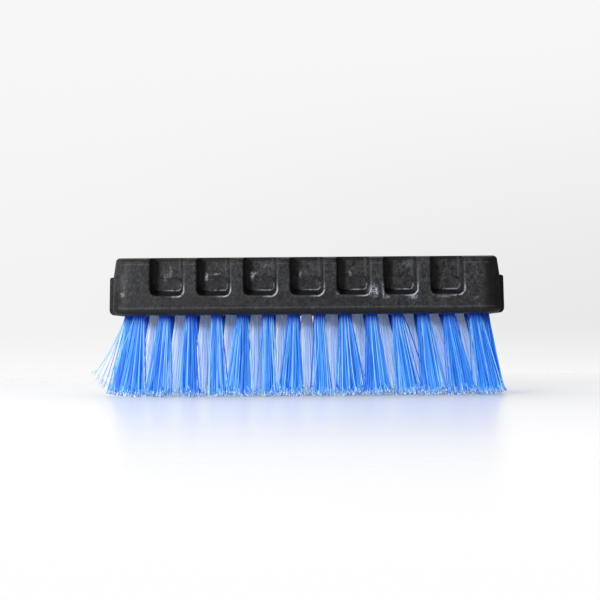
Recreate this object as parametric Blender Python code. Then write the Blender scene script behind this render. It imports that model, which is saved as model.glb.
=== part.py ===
"""Scrub brush: a moulded block with finger recesses, and bristle tufts set in its blind holes.

Metres, +Z up. The brush stands on its bristle tips, with the origin under its middle on the floor.
+X runs along the brush and -Y is the side that faces a person who holds it.
"""

import math
import random

import bmesh
import bpy
import numpy as np

# Block body, measured from its underside
BODY_LENGTH = 0.1486
BODY_WIDTH = 0.0500
BLOCK_HEIGHT = 0.0220
PLAN_CORNER_RADIUS = 0.0068
BOTTOM_BEVEL_HEIGHT = 0.0021
BOTTOM_BEVEL_WIDTH = 0.0019
TOP_EDGE_RADIUS = 0.0012
TOP_CROWN = 0.0008
LOWER_END_DRAFT_DEG = 1.4
UPPER_END_DRAFT_DEG = 8.0
SIDE_DRAFT_DEG = 1.5

# Finger recesses, open at the top, seven along each side
RECESS_COUNT = 7
END_SHOULDER = 0.0150
RIB_WIDTH = 0.0053
RECESS_DEPTH = 0.0056
RECESS_FLOOR_LEVEL = 0.00715
RECESS_CORNER_RADIUS = 0.0022
RECESS_INNER_FILLET = 0.0010
RECESS_LIP_RADIUS = 0.0006
RECESS_BACK_WALL = 0.0013

# Raised pad on the back wall of each recess
PAD_SIDE_MARGIN = 0.0010
PAD_BOTTOM_MARGIN = 0.0017
PAD_TOP_DROP = 0.00645
PAD_RISE = 0.0010
PAD_CORNER_RADIUS = 0.0014
PAD_EDGE_BEVEL = 0.0004

# Blind holes for the tufts, in four rows, the two inner ones staggered
BRISTLE_TRIM = 0.0315
ROW_COUNTS = (14, 15, 15, 14)
ROW_NAMES = ("front", "inner_front", "inner_back", "back")
HOLE_DIAMETER = 0.0050
HOLE_ROOF = 0.0096
HOLE_END_RIM = 0.0020
TUFT_CLEARANCE = 0.0003

# End tabs, which thicken the wall beside the last tufts
TAB_REACH = 0.0017
TAB_CORNER_MARGIN = 0.0012
TAB_ROOF = 0.0022
TAB_EDGE_RADIUS = 0.0008
TAB_DRAFT_DEG = 1.0

# Strands, shown thicker and fewer than the real filaments
RING_STRANDS = 7
STRAND_SIDES = 3
STRAND_ROOT_GAP = 0.0003
STRAND_ROOT_RIM = 0.00005
TUFT_TIP_GAP = 0.0013
TIP_SCATTER_SHARE = 0.3
END_LEAN = 0.0055
LEAN_POWER = 2.2
STRAY_REACH = 0.0057
SIDE_LEAN = 0.0034
FLAT_CUT_DEPTH = 0.0005
SCATTER_SEED = 11

# Cutting and meshing
CUT_OVERRUN = 0.0020
PAD_SINK = 0.0006
MERGE_DISTANCE = 0.0000001
REL_TOLERANCE = 0.00001
CORNER_STEPS = 6
SMALL_CORNER_STEPS = 3
ROUND_STEPS = 2
HOLE_SIDES = 8
SMOOTH_ANGLE_DEG = 35.0
GAP_STATIONS = 41
MM_PER_METRE = 1000

# Sizes that follow from those above
HOLE_RADIUS = HOLE_DIAMETER / 2
HOLE_DEPTH = BLOCK_HEIGHT - HOLE_ROOF
TAB_HEIGHT = HOLE_DEPTH + TAB_ROOF
TAB_WIDTH = BODY_WIDTH - 2 * (PLAN_CORNER_RADIUS + TAB_CORNER_MARGIN)
RECESS_WIDTH = (BODY_LENGTH - 2 * END_SHOULDER - (RECESS_COUNT - 1) * RIB_WIDTH) / RECESS_COUNT
LAST_TUFT_X = BODY_LENGTH / 2 + TAB_REACH - BOTTOM_BEVEL_WIDTH - HOLE_END_RIM - HOLE_RADIUS
LAST_ROW_Y = BODY_WIDTH / 2 - RECESS_DEPTH - RECESS_BACK_WALL - HOLE_RADIUS
TUFT_PITCH = 2 * LAST_TUFT_X / (max(ROW_COUNTS) - 1)
ROW_PITCH = 2 * LAST_ROW_Y / (len(ROW_COUNTS) - 1)
ROOT_RADIUS = HOLE_RADIUS - TUFT_CLEARANCE
ROOT_FLAT_RADIUS = ROOT_RADIUS * math.cos(math.pi / HOLE_SIDES) - STRAND_ROOT_RIM
RING_SPACING_SHARE = math.sin(math.pi / RING_STRANDS)
STRAND_THICKNESS = (2 * ROOT_FLAT_RADIUS * RING_SPACING_SHARE - STRAND_ROOT_GAP) / (1 + RING_SPACING_SHARE)
ROOT_RING_RADIUS = ROOT_FLAT_RADIUS - STRAND_THICKNESS / 2
TIP_RING_RADIUS = (TUFT_PITCH - STRAND_THICKNESS - TUFT_TIP_GAP) / 2
TIP_SCATTER = TUFT_TIP_GAP * TIP_SCATTER_SHARE


def clear_scene():
    for scene_object in list(bpy.data.objects):
        bpy.data.objects.remove(scene_object, do_unlink=True)


def plastic(name, color, roughness):
    """A moulded or drawn plastic with one colour."""
    material = bpy.data.materials.new(name)
    material.use_nodes = True
    shader = material.node_tree.nodes["Principled BSDF"]
    shader.inputs["Base Color"].default_value = (*color, 1.0)
    shader.inputs["Roughness"].default_value = roughness
    shader.inputs["Metallic"].default_value = 0.0
    material.diffuse_color = (*color, 1.0)
    return material


def block_plastic():
    return plastic("block_plastic", (0.035, 0.036, 0.038), 0.55)


def blue_filament():
    return plastic("blue_filament", (0.015, 0.11, 0.80), 0.35)


def clear_filament():
    return plastic("clear_filament", (0.72, 0.75, 0.92), 0.40)


def object_of(name, mesh_data, material):
    """A scene object with the closed shape in mesh_data, its faces pointing out."""
    bmesh.ops.remove_doubles(mesh_data, verts=mesh_data.verts[:], dist=MERGE_DISTANCE)
    bmesh.ops.recalc_face_normals(mesh_data, faces=mesh_data.faces[:])
    mesh = bpy.data.meshes.new(name)
    mesh_data.to_mesh(mesh)
    mesh_data.free()
    mesh.shade_smooth()
    mesh.set_sharp_from_angle(angle=math.radians(SMOOTH_ANGLE_DEG))
    if material:
        mesh.materials.append(material)
    new_object = bpy.data.objects.new(name, mesh)
    bpy.context.scene.collection.objects.link(new_object)
    return new_object


def helper_of(name, mesh_data):
    """A tool shape for a Boolean, which is no part of the brush."""
    helper = object_of(name, mesh_data, None)
    helper.hide_render = True
    helper.display_type = "WIRE"
    return helper


def combine(target, helper, operation):
    modifier = target.modifiers.new(helper.name, "BOOLEAN")
    modifier.operation = operation
    modifier.solver = "EXACT"
    modifier.object = helper


def add_loop(mesh_data, points):
    return [mesh_data.verts.new(point) for point in points]


def add_walls(mesh_data, lower, upper):
    """Side faces between two loops; returns the edges of the first loop."""
    for index, corner in enumerate(lower):
        following = (index + 1) % len(lower)
        mesh_data.faces.new((corner, lower[following], upper[following], upper[index]))
    return [mesh_data.edges.get((corner, lower[index - 1])) for index, corner in enumerate(lower)]


def add_loft(mesh_data, rings):
    """Walls from ring to ring, with the first and the last ring closed by a face."""
    loops = [add_loop(mesh_data, ring) for ring in rings]
    for lower, upper in zip(loops, loops[1:]):
        add_walls(mesh_data, lower, upper)
    mesh_data.faces.new(loops[0][::-1])
    mesh_data.faces.new(loops[-1])


def arc(center_u, center_v, radius, start_quarter, steps):
    """Points on a quarter of a circle, counted anticlockwise from start_quarter quarters."""
    points = []
    for step in range(steps + 1):
        angle = (start_quarter + step / steps) * math.pi / 2
        points.append((center_u + radius * math.cos(angle), center_v + radius * math.sin(angle)))
    return points


def rounded_rectangle(low_u, high_u, low_v, high_v, radius, steps):
    """A rectangle with round corners, anticlockwise."""
    return (
        arc(high_u - radius, high_v - radius, radius, 0, steps)
        + arc(low_u + radius, high_v - radius, radius, 1, steps)
        + arc(low_u + radius, low_v + radius, radius, 2, steps)
        + arc(high_u - radius, low_v + radius, radius, 3, steps)
    )


def drop(run, draft_deg):
    """How far a wall leans in over a run."""
    return run * math.tan(math.radians(draft_deg))


def body_end(level):
    """Half the body's length at a height above the underside."""
    lower_run = min(level, TAB_HEIGHT)
    upper_run = max(level - TAB_HEIGHT, 0)
    lean = drop(lower_run, LOWER_END_DRAFT_DEG) + drop(upper_run, UPPER_END_DRAFT_DEG)
    return BODY_LENGTH / 2 - lean


def body_side(level):
    """Half the body's width at a height above the underside."""
    return BODY_WIDTH / 2 - drop(level, SIDE_DRAFT_DEG)


def tab_end(level):
    """Distance from the middle to a tab's outer face at a height above the underside."""
    return BODY_LENGTH / 2 + TAB_REACH - drop(level, TAB_DRAFT_DEG)


def tab_outline(face, reach):
    """The tab at the +X end, from its root at -Y round to its root at +Y."""
    half = TAB_WIDTH / 2
    radius = min(TAB_EDGE_RADIUS, reach)
    outer = face + reach - radius
    return (
        [(face, -half)]
        + arc(outer, -half + radius, radius, 3, SMALL_CORNER_STEPS)
        + arc(outer, half - radius, radius, 0, SMALL_CORNER_STEPS)
        + [(face, half)]
    )


def block_ring(level, inset, reach):
    """One level of the block: a rounded rectangle with a tab at each end.

    Where reach is zero, the tab's points lie on the end face, and merge there.
    """
    end = body_end(level) - inset
    side = body_side(level) - inset
    radius = PLAN_CORNER_RADIUS - inset
    tab = tab_outline(end, reach)
    far_tab = [(-u, -v) for u, v in tab]
    outline = (
        arc(end - radius, side - radius, radius, 0, CORNER_STEPS)
        + arc(radius - end, side - radius, radius, 1, CORNER_STEPS)
        + far_tab
        + arc(radius - end, radius - side, radius, 2, CORNER_STEPS)
        + arc(end - radius, radius - side, radius, 3, CORNER_STEPS)
        + tab
    )
    return [(u, v, BRISTLE_TRIM + level) for u, v in outline]


def crowned(ring):
    """A ring near the top, let down where it lies beyond the level middle of the top."""
    slope_width = body_side(BLOCK_HEIGHT) - TOP_EDGE_RADIUS - TAB_WIDTH / 2
    return [(u, v, w - TOP_CROWN * max(abs(v) - TAB_WIDTH / 2, 0) / slope_width) for u, v, w in ring]


def split_top(mesh_data):
    """Divides the top into its level middle, as wide as the end tabs, and a slope on each side."""
    bmesh.ops.remove_doubles(mesh_data, verts=mesh_data.verts[:], dist=MERGE_DISTANCE)
    top = BRISTLE_TRIM + BLOCK_HEIGHT
    corners = [vertex for vertex in mesh_data.verts if math.isclose(vertex.co.z, top, rel_tol=REL_TOLERANCE)]
    for side in (-1, 1):
        ends = [corner for corner in corners if corner.co.y * side > 0]
        bmesh.ops.connect_verts(mesh_data, verts=ends)


def rounding(radius, steps):
    """Pairs of (rise, inset) round a convex edge, from its foot to its top."""
    pairs = []
    for step in range(steps + 1):
        angle = step / steps * math.pi / 2
        pairs.append((radius * math.sin(angle), radius * (1 - math.cos(angle))))
    return pairs


def block_body():
    rings = []
    for rise, inset in rounding(1, ROUND_STEPS):
        level = BOTTOM_BEVEL_HEIGHT * (1 - rise)
        width = BOTTOM_BEVEL_WIDTH * inset
        rings.insert(0, block_ring(level, width, tab_end(level) - body_end(level)))
    tab_shoulder = TAB_HEIGHT - TAB_EDGE_RADIUS
    for rise, inset in rounding(TAB_EDGE_RADIUS, ROUND_STEPS):
        level = tab_shoulder + rise
        rings.append(block_ring(level, 0, tab_end(level) - inset - body_end(level)))
    rings.append(block_ring(TAB_HEIGHT, 0, 0))
    for rise, inset in rounding(TOP_EDGE_RADIUS, ROUND_STEPS):
        rings.append(crowned(block_ring(BLOCK_HEIGHT - TOP_EDGE_RADIUS + rise, inset, 0)))
    mesh_data = bmesh.new()
    add_loft(mesh_data, rings)
    split_top(mesh_data)
    return object_of("block", mesh_data, block_plastic())


def side_ring(outline, depth, side):
    """An outline in X and level, set at a depth behind the block's side face, which leans in."""
    return [(u, side * (body_side(level) - depth), BRISTLE_TRIM + level) for u, level in outline]


def recess_centers():
    """(x, side) of each recess, where side is -1 for the front and 1 for the back."""
    pitch = RECESS_WIDTH + RIB_WIDTH
    first = -pitch * (RECESS_COUNT - 1) / 2
    return [(first + pitch * index, side) for side in (-1, 1) for index in range(RECESS_COUNT)]


def recess_outline(center, growth):
    half = RECESS_WIDTH / 2 + growth
    bottom = RECESS_FLOOR_LEVEL - growth
    top = BLOCK_HEIGHT + CUT_OVERRUN
    radius = RECESS_CORNER_RADIUS + growth
    return rounded_rectangle(center - half, center + half, bottom, top, radius, SMALL_CORNER_STEPS)


def recess_cutters():
    """One cutter for each recess, flared at its mouth and filleted at its back wall."""
    mesh_data = bmesh.new()
    for center, side in recess_centers():
        stations = [(-CUT_OVERRUN, RECESS_LIP_RADIUS)]
        for rise, inset in rounding(RECESS_LIP_RADIUS, ROUND_STEPS):
            stations.append((inset, RECESS_LIP_RADIUS - rise))
        for rise, inset in rounding(RECESS_INNER_FILLET, ROUND_STEPS):
            stations.append((RECESS_DEPTH - RECESS_INNER_FILLET + rise, -inset))
        rings = [side_ring(recess_outline(center, growth), depth, side) for depth, growth in stations]
        add_loft(mesh_data, rings)
    return helper_of("recess_cutters", mesh_data)


def recess_pads():
    """A low pad for each recess, sunk a little into the back wall."""
    mesh_data = bmesh.new()
    half = RECESS_WIDTH / 2 - PAD_SIDE_MARGIN
    bottom = RECESS_FLOOR_LEVEL + PAD_BOTTOM_MARGIN
    top = BLOCK_HEIGHT - PAD_TOP_DROP
    face_depth = RECESS_DEPTH - PAD_RISE
    stations = (
        (RECESS_DEPTH + PAD_SINK, 0),
        (face_depth + PAD_EDGE_BEVEL, 0),
        (face_depth, PAD_EDGE_BEVEL),
    )
    for center, side in recess_centers():
        rings = []
        for depth, inset in stations:
            outline = rounded_rectangle(
                center - half + inset,
                center + half - inset,
                bottom + inset,
                top - inset,
                PAD_CORNER_RADIUS - inset,
                SMALL_CORNER_STEPS,
            )
            rings.append(side_ring(outline, depth, side))
        add_loft(mesh_data, rings)
    return helper_of("recess_pads", mesh_data)


def polygon(center_x, center_y, radius, height, sides, turn):
    """A level polygon; turn is the angle of its first corner."""
    points = []
    for corner in range(sides):
        angle = turn + 2 * math.pi * corner / sides
        points.append((center_x + radius * math.cos(angle), center_y + radius * math.sin(angle), height))
    return points


def tuft_places():
    """(name, x, y, outer) of each tuft, where outer marks those round the edge of the field."""
    places = []
    for row, count in enumerate(ROW_COUNTS):
        row_y = row * ROW_PITCH - LAST_ROW_Y
        edge_row = row in (0, len(ROW_COUNTS) - 1)
        for index in range(count):
            name = f"tuft_{ROW_NAMES[row]}_{index + 1:02d}"
            place_x = (index - (count - 1) / 2) * TUFT_PITCH
            places.append((name, place_x, row_y, edge_row or index in (0, count - 1)))
    return places


def tuft_hole_cutters():
    mesh_data = bmesh.new()
    for _, place_x, place_y, _ in tuft_places():
        rings = [
            polygon(place_x, place_y, HOLE_RADIUS, height, HOLE_SIDES, math.pi / HOLE_SIDES)
            for height in (BRISTLE_TRIM - CUT_OVERRUN, BRISTLE_TRIM + HOLE_DEPTH)
        ]
        add_loft(mesh_data, rings)
    return helper_of("tuft_hole_cutters", mesh_data)


def tip_center(place_x, place_y):
    """Where a tuft's middle strand aims: the tufts lean out towards the ends and sides."""
    lean_x = END_LEAN * (abs(place_x) / LAST_TUFT_X) ** LEAN_POWER
    lean_y = SIDE_LEAN * abs(place_y) / LAST_ROW_Y
    return place_x + math.copysign(lean_x, place_x), place_y + math.copysign(lean_y, place_y)


def stray_lean(place_x, strand):
    """How much further out the outermost strand of a row's last tuft leans."""
    at_end = math.isclose(abs(place_x), LAST_TUFT_X)
    return math.copysign(STRAY_REACH, place_x) * (at_end and strand == 0)


def strand_lines(place_x, place_y):
    """(root, tip, turn) of each strand: one in the middle and the rest in a ring round it.

    The scatter follows the distances from the middle planes, so opposite tufts are mirror images.
    """
    half_pitches_x = round(2 * abs(place_x) / TUFT_PITCH)
    half_pitches_y = round(2 * abs(place_y) / ROW_PITCH)
    scatter = random.Random(f"{SCATTER_SEED} {half_pitches_x} {half_pitches_y}")
    mirror_x = math.copysign(1, place_x)
    mirror_y = math.copysign(1, place_y)
    middle_x, middle_y = tip_center(place_x, place_y)
    lines = []
    for strand in range(RING_STRANDS + 1):
        angle = 2 * math.pi * strand / RING_STRANDS
        in_ring = strand < RING_STRANDS
        along = math.cos(angle) * in_ring * mirror_x
        across = math.sin(angle) * in_ring * mirror_y
        jitter_x = TIP_SCATTER * scatter.uniform(-1, 1) * mirror_x
        jitter_y = TIP_SCATTER * scatter.uniform(-1, 1) * mirror_y
        root = (place_x + along * ROOT_RING_RADIUS, place_y + across * ROOT_RING_RADIUS)
        aim_x = middle_x + along * TIP_RING_RADIUS + jitter_x + stray_lean(place_x, strand)
        aim = (aim_x, middle_y + across * TIP_RING_RADIUS + jitter_y)
        lines.append((root, floor_point(root, aim), math.atan2(across, along)))
    return lines


def floor_point(root, aim):
    """A strand aims for a point under the floor, and is cut flat where it meets the floor."""
    share = BRISTLE_TRIM / (BRISTLE_TRIM + FLAT_CUT_DEPTH)
    return tuple(start + (end - start) * share for start, end in zip(root, aim))


def tuft(name, place_x, place_y, material):
    """The packed root in its blind hole, with the strands fused to its underside."""
    mesh_data = bmesh.new()
    turn = math.pi / HOLE_SIDES
    top_height = BRISTLE_TRIM + HOLE_DEPTH - TUFT_CLEARANCE
    top = add_loop(mesh_data, polygon(place_x, place_y, ROOT_RADIUS, top_height, HOLE_SIDES, turn))
    low = add_loop(mesh_data, polygon(place_x, place_y, ROOT_RADIUS, BRISTLE_TRIM, HOLE_SIDES, turn))
    mesh_data.faces.new(top)
    underside_edges = add_walls(mesh_data, low, top)
    for root, tip, strand_turn in strand_lines(place_x, place_y):
        radius = STRAND_THICKNESS / 2
        start = add_loop(mesh_data, polygon(*root, radius, BRISTLE_TRIM, STRAND_SIDES, strand_turn))
        end = add_loop(mesh_data, polygon(*tip, radius, 0, STRAND_SIDES, strand_turn))
        mesh_data.faces.new(end)
        underside_edges += add_walls(mesh_data, start, end)
    bmesh.ops.triangle_fill(mesh_data, edges=underside_edges, use_beauty=True)
    return object_of(name, mesh_data, material)


def least_strand_gap():
    """The least distance between the surfaces of any two strands, by sampling their middle lines."""
    lines = [line for _, x, y, _ in tuft_places() for line in strand_lines(x, y)]
    roots = np.array([root for root, _, _ in lines])
    tips = np.array([tip for _, tip, _ in lines])
    least = math.inf
    for share in np.linspace(0, 1, GAP_STATIONS):
        points = roots + (tips - roots) * share
        spacing = np.linalg.norm(points[:, None] - points[None], axis=2)
        np.fill_diagonal(spacing, math.inf)
        least = min(least, spacing.min() - STRAND_THICKNESS)
    return least


def tufts():
    """Blue tufts round the edge of the field, clear ones inside it."""
    blue = blue_filament()
    clear = clear_filament()
    for name, place_x, place_y, outer in tuft_places():
        tuft(name, place_x, place_y, blue if outer else clear)
    print(f"least gap between strands: {least_strand_gap() * MM_PER_METRE:.2f} mm")


def main():
    clear_scene()
    block = block_body()
    combine(block, recess_cutters(), "DIFFERENCE")
    combine(block, recess_pads(), "UNION")
    combine(block, tuft_hole_cutters(), "DIFFERENCE")
    tufts()


main()
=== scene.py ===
"""Scrub brush dressed for its photograph: moulded block, bristle tufts and a plain studio.

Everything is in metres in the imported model's own frame. The brush stands on its bristle tips
with the origin under its middle, +X runs along it to the viewer's right, and -Y is the side
that the photograph shows.
"""

import logging
import math
import random
from dataclasses import dataclass, field, replace
from enum import Enum

import bmesh
import bpy
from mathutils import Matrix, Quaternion, Vector


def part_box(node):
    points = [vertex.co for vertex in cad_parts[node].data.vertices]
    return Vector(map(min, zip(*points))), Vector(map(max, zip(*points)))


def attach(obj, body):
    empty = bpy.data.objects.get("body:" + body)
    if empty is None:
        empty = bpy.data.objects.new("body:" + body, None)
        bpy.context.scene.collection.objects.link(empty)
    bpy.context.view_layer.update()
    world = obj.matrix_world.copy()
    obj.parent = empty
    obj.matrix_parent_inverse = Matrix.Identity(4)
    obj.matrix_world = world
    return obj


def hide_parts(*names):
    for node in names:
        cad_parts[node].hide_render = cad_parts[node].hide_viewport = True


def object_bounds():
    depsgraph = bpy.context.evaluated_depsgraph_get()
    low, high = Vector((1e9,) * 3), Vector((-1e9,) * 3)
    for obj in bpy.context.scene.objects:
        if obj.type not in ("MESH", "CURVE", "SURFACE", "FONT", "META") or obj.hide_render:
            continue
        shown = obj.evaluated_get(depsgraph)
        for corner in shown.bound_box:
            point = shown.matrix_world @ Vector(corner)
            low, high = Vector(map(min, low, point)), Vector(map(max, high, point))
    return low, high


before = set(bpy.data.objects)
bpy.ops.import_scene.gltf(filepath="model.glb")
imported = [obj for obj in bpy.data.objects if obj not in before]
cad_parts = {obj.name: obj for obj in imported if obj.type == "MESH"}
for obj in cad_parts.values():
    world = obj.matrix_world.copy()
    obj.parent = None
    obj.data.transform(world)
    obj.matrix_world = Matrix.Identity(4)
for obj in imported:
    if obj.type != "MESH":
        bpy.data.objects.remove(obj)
CAD_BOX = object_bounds()

ROOT_BODY = "root"
MERGE_DISTANCE = 1e-7
REL_TOLERANCE = 1e-5
GOLDEN_ANGLE = math.pi * (3 - math.sqrt(5))
LOG = logging.getLogger("scrub_brush")


class Slot(Enum):
    """The record's material slots."""

    BLOCK = "block_plastic"
    BLUE = "blue_filament"
    CLEAR = "clear_filament"


class Row(Enum):
    """The rows of tufts, from the photographed side to the far side."""

    FRONT = "front"
    INNER_FRONT = "inner_front"
    INNER_BACK = "inner_back"
    BACK = "back"


class Effect(Enum):
    """The effects that materials place."""

    FINE_GRAIN = "fine_grain"
    SCRATCHES = "scratches"
    SPECKS = "specks"
    LENGTH_STREAKS = "length_streaks"


class Change(Enum):
    """What a helper shape does to a target."""

    JOIN = "UNION"
    CUT = "DIFFERENCE"


def arc(center_u: float, center_v: float, radius: float, start_quarter: int, steps: int) -> list:
    """Points on a quarter of a circle.

    Args:
        center_u: First coordinate of the circle's middle.
        center_v: Second coordinate of the circle's middle.
        radius: The circle's radius.
        start_quarter: Quarter turns from +u, anticlockwise, where the arc starts.
        steps: Straight pieces that the arc is made of.

    Returns:
        The points as (u, v) pairs, anticlockwise.
    """
    points = []
    for step in range(steps + 1):
        angle = (start_quarter + step / steps) * math.pi / 2
        points.append((center_u + radius * math.cos(angle), center_v + radius * math.sin(angle)))
    return points


def rounded_rectangle(low: tuple, high: tuple, radius: float, steps: int) -> list:
    """A rectangle with round corners.

    Args:
        low: Its lowest corner (u, v).
        high: Its highest corner (u, v).
        radius: The radius of its corners.
        steps: Straight pieces in each corner.

    Returns:
        The outline as (u, v) pairs, anticlockwise.
    """
    return (
        arc(high[0] - radius, high[1] - radius, radius, 0, steps)
        + arc(low[0] + radius, high[1] - radius, radius, 1, steps)
        + arc(low[0] + radius, low[1] + radius, radius, 2, steps)
        + arc(high[0] - radius, low[1] + radius, radius, 3, steps)
    )


def rounding(radius: float, steps: int) -> list:
    """Stations round a convex edge.

    Args:
        radius: The edge's radius.
        steps: Straight pieces in the rounding.

    Returns:
        Pairs of (rise, inset), from the foot of the rounding to its top.
    """
    pairs = []
    for step in range(steps + 1):
        angle = step / steps * math.pi / 2
        pairs.append((radius * math.sin(angle), radius * (1 - math.cos(angle))))
    return pairs


def add_loft(shape: bmesh.types.BMesh, rings: list) -> None:
    """Adds walls from ring to ring and closes both ends.

    Args:
        shape: The mesh that takes the faces.
        rings: Lists of points, all of one length.
    """
    loops = [[shape.verts.new(point) for point in ring] for ring in rings]
    for lower, upper in zip(loops, loops[1:]):
        for index, corner in enumerate(lower):
            following = (index + 1) % len(lower)
            shape.faces.new((corner, lower[following], upper[following], upper[index]))
    shape.faces.new(loops[0][::-1])
    shape.faces.new(loops[-1])


def object_of(name: str, shape: bmesh.types.BMesh) -> bpy.types.Object:
    """Makes a scene object from a closed shape.

    Args:
        name: The object's name.
        shape: Its mesh data, which is freed.

    Returns:
        The object, with its faces pointing out.
    """
    bmesh.ops.remove_doubles(shape, verts=shape.verts[:], dist=MERGE_DISTANCE)
    bmesh.ops.recalc_face_normals(shape, faces=shape.faces[:])
    mesh = bpy.data.meshes.new(name)
    shape.to_mesh(mesh)
    shape.free()
    made = bpy.data.objects.new(name, mesh)
    bpy.context.scene.collection.objects.link(made)
    return made


def combine(target: bpy.types.Object, helper: bpy.types.Object, change: Change) -> None:
    """Joins or cuts a target with a helper shape, then removes the helper.

    Args:
        target: The object that is changed.
        helper: The closed shape that joins or cuts it.
        change: What the helper does.
    """
    modifier = target.modifiers.new("combine", "BOOLEAN")
    modifier.operation = change.value
    modifier.solver = "EXACT"
    modifier.object = helper
    evaluated = target.evaluated_get(bpy.context.evaluated_depsgraph_get())
    mesh = bpy.data.meshes.new_from_object(evaluated)
    target.modifiers.clear()
    target.data = mesh
    bpy.data.objects.remove(helper, do_unlink=True)


class NodeDesk:
    """Adds nodes to one tree and links them, so that a material reads as a list of steps."""

    def __init__(self, tree: bpy.types.NodeTree) -> None:
        """Keeps the tree that the nodes go to."""
        self.tree = tree

    def add(self, kind: str, inputs: dict | None = None, **settings: object) -> bpy.types.Node:
        """Adds one node.

        Args:
            kind: The node's type name.
            inputs: For each socket name or index, a value or the output that feeds it.
            **settings: Values for the node's own properties.

        Returns:
            The node.
        """
        node = self.tree.nodes.new(kind)
        for name, value in settings.items():
            setattr(node, name, value)
        for name, value in (inputs or {}).items():
            self.feed(node.inputs[name], value)
        return node

    def feed(self, socket: bpy.types.NodeSocket, value: object) -> None:
        """Links an output to a socket, or sets the socket's own value.

        Args:
            socket: The input that is fed.
            value: An output, a number, or a vector or colour of three parts.
        """
        if isinstance(value, bpy.types.NodeSocket):
            self.tree.links.new(value, socket)
        elif socket.type == "RGBA":
            socket.default_value = (*value, 1.0)
        else:
            socket.default_value = value

    def math(self, operation: str, *values: object) -> bpy.types.NodeSocket:
        """A Math node's result.

        Args:
            operation: The node's operation, such as ADD.
            *values: Its inputs in order, numbers or outputs.

        Returns:
            The node's output.
        """
        return self.add("ShaderNodeMath", dict(enumerate(values)), operation=operation).outputs[0]

    def product(self, *values: object) -> object:
        """The product of any number of values.

        Args:
            *values: Numbers or outputs.

        Returns:
            The last node's output.
        """
        total = values[0]
        for value in values[1:]:
            total = self.math("MULTIPLY", total, value)
        return total

    def vector(self, *parts: object) -> bpy.types.NodeSocket:
        """A vector of the parts given, with zero for the others."""
        return self.add("ShaderNodeCombineXYZ", dict(enumerate(parts))).outputs[0]

    def split(self, vector: bpy.types.NodeSocket) -> tuple:
        """The X, Y and Z parts of a vector."""
        return tuple(self.add("ShaderNodeSeparateXYZ", {0: vector}).outputs)

    def length(self, vector: bpy.types.NodeSocket) -> bpy.types.NodeSocket:
        """The length of a vector."""
        return self.add("ShaderNodeVectorMath", {0: vector}, operation="LENGTH").outputs["Value"]

    def ramp(
        self, value: object, low: object, high: object, to_low: float = 0.0, to_high: float = 1.0
    ) -> object:
        """Maps a range smoothly onto another.

        Args:
            value: The output that is mapped.
            low: The value that gives to_low, a number or an output.
            high: The value that gives to_high, a number or an output.
            to_low: Result at the low end.
            to_high: Result at the high end.

        Returns:
            The mapped output.
        """
        inputs = {"Value": value, "From Min": low, "From Max": high, "To Min": to_low, "To Max": to_high}
        return self.add("ShaderNodeMapRange", inputs, interpolation_type="SMOOTHSTEP").outputs["Result"]

    def noise(self, vector: object, scale: object, detail: float, roughness: float = 0.5) -> object:
        """A noise texture's value.

        Args:
            vector: The coordinates that it reads.
            scale: Cells in each metre.
            detail: Octaves of finer noise.
            roughness: How strong the finer octaves are.

        Returns:
            The noise, from 0 to 1.
        """
        inputs = {"Vector": vector, "Scale": scale, "Detail": detail, "Roughness": roughness}
        return self.add("ShaderNodeTexNoise", inputs).outputs["Fac"]

    def blend(self, amount: object, first: object, second: object) -> object:
        """A mix of two colours.

        Args:
            amount: Share of the second colour.
            first: The first colour, a value or an output.
            second: The second colour, a value or an output.

        Returns:
            The mixed colour.
        """
        inputs = {0: amount, 6: first, 7: second}
        return self.add("ShaderNodeMix", inputs, data_type="RGBA").outputs[2]

    def mix_shaders(self, amount: object, first: bpy.types.Node, second: bpy.types.Node) -> bpy.types.Node:
        """A mix of two shader nodes, with the share of the second."""
        return self.add("ShaderNodeMixShader", {0: amount, 1: first.outputs[0], 2: second.outputs[0]})

    def surface(self, output_name: str, shader: bpy.types.Node) -> None:
        """Makes a shader node what the named output node shows."""
        self.feed(self.tree.nodes[output_name].inputs["Surface"], shader.outputs[0])


def start_material(name: str) -> tuple:
    """Makes a material with its main shader.

    Args:
        name: The material's name.

    Returns:
        The material, its desk and its Principled BSDF node.
    """
    material = bpy.data.materials.new(name)
    material.use_nodes = True
    return material, NodeDesk(material.node_tree), material.node_tree.nodes["Principled BSDF"]


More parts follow.
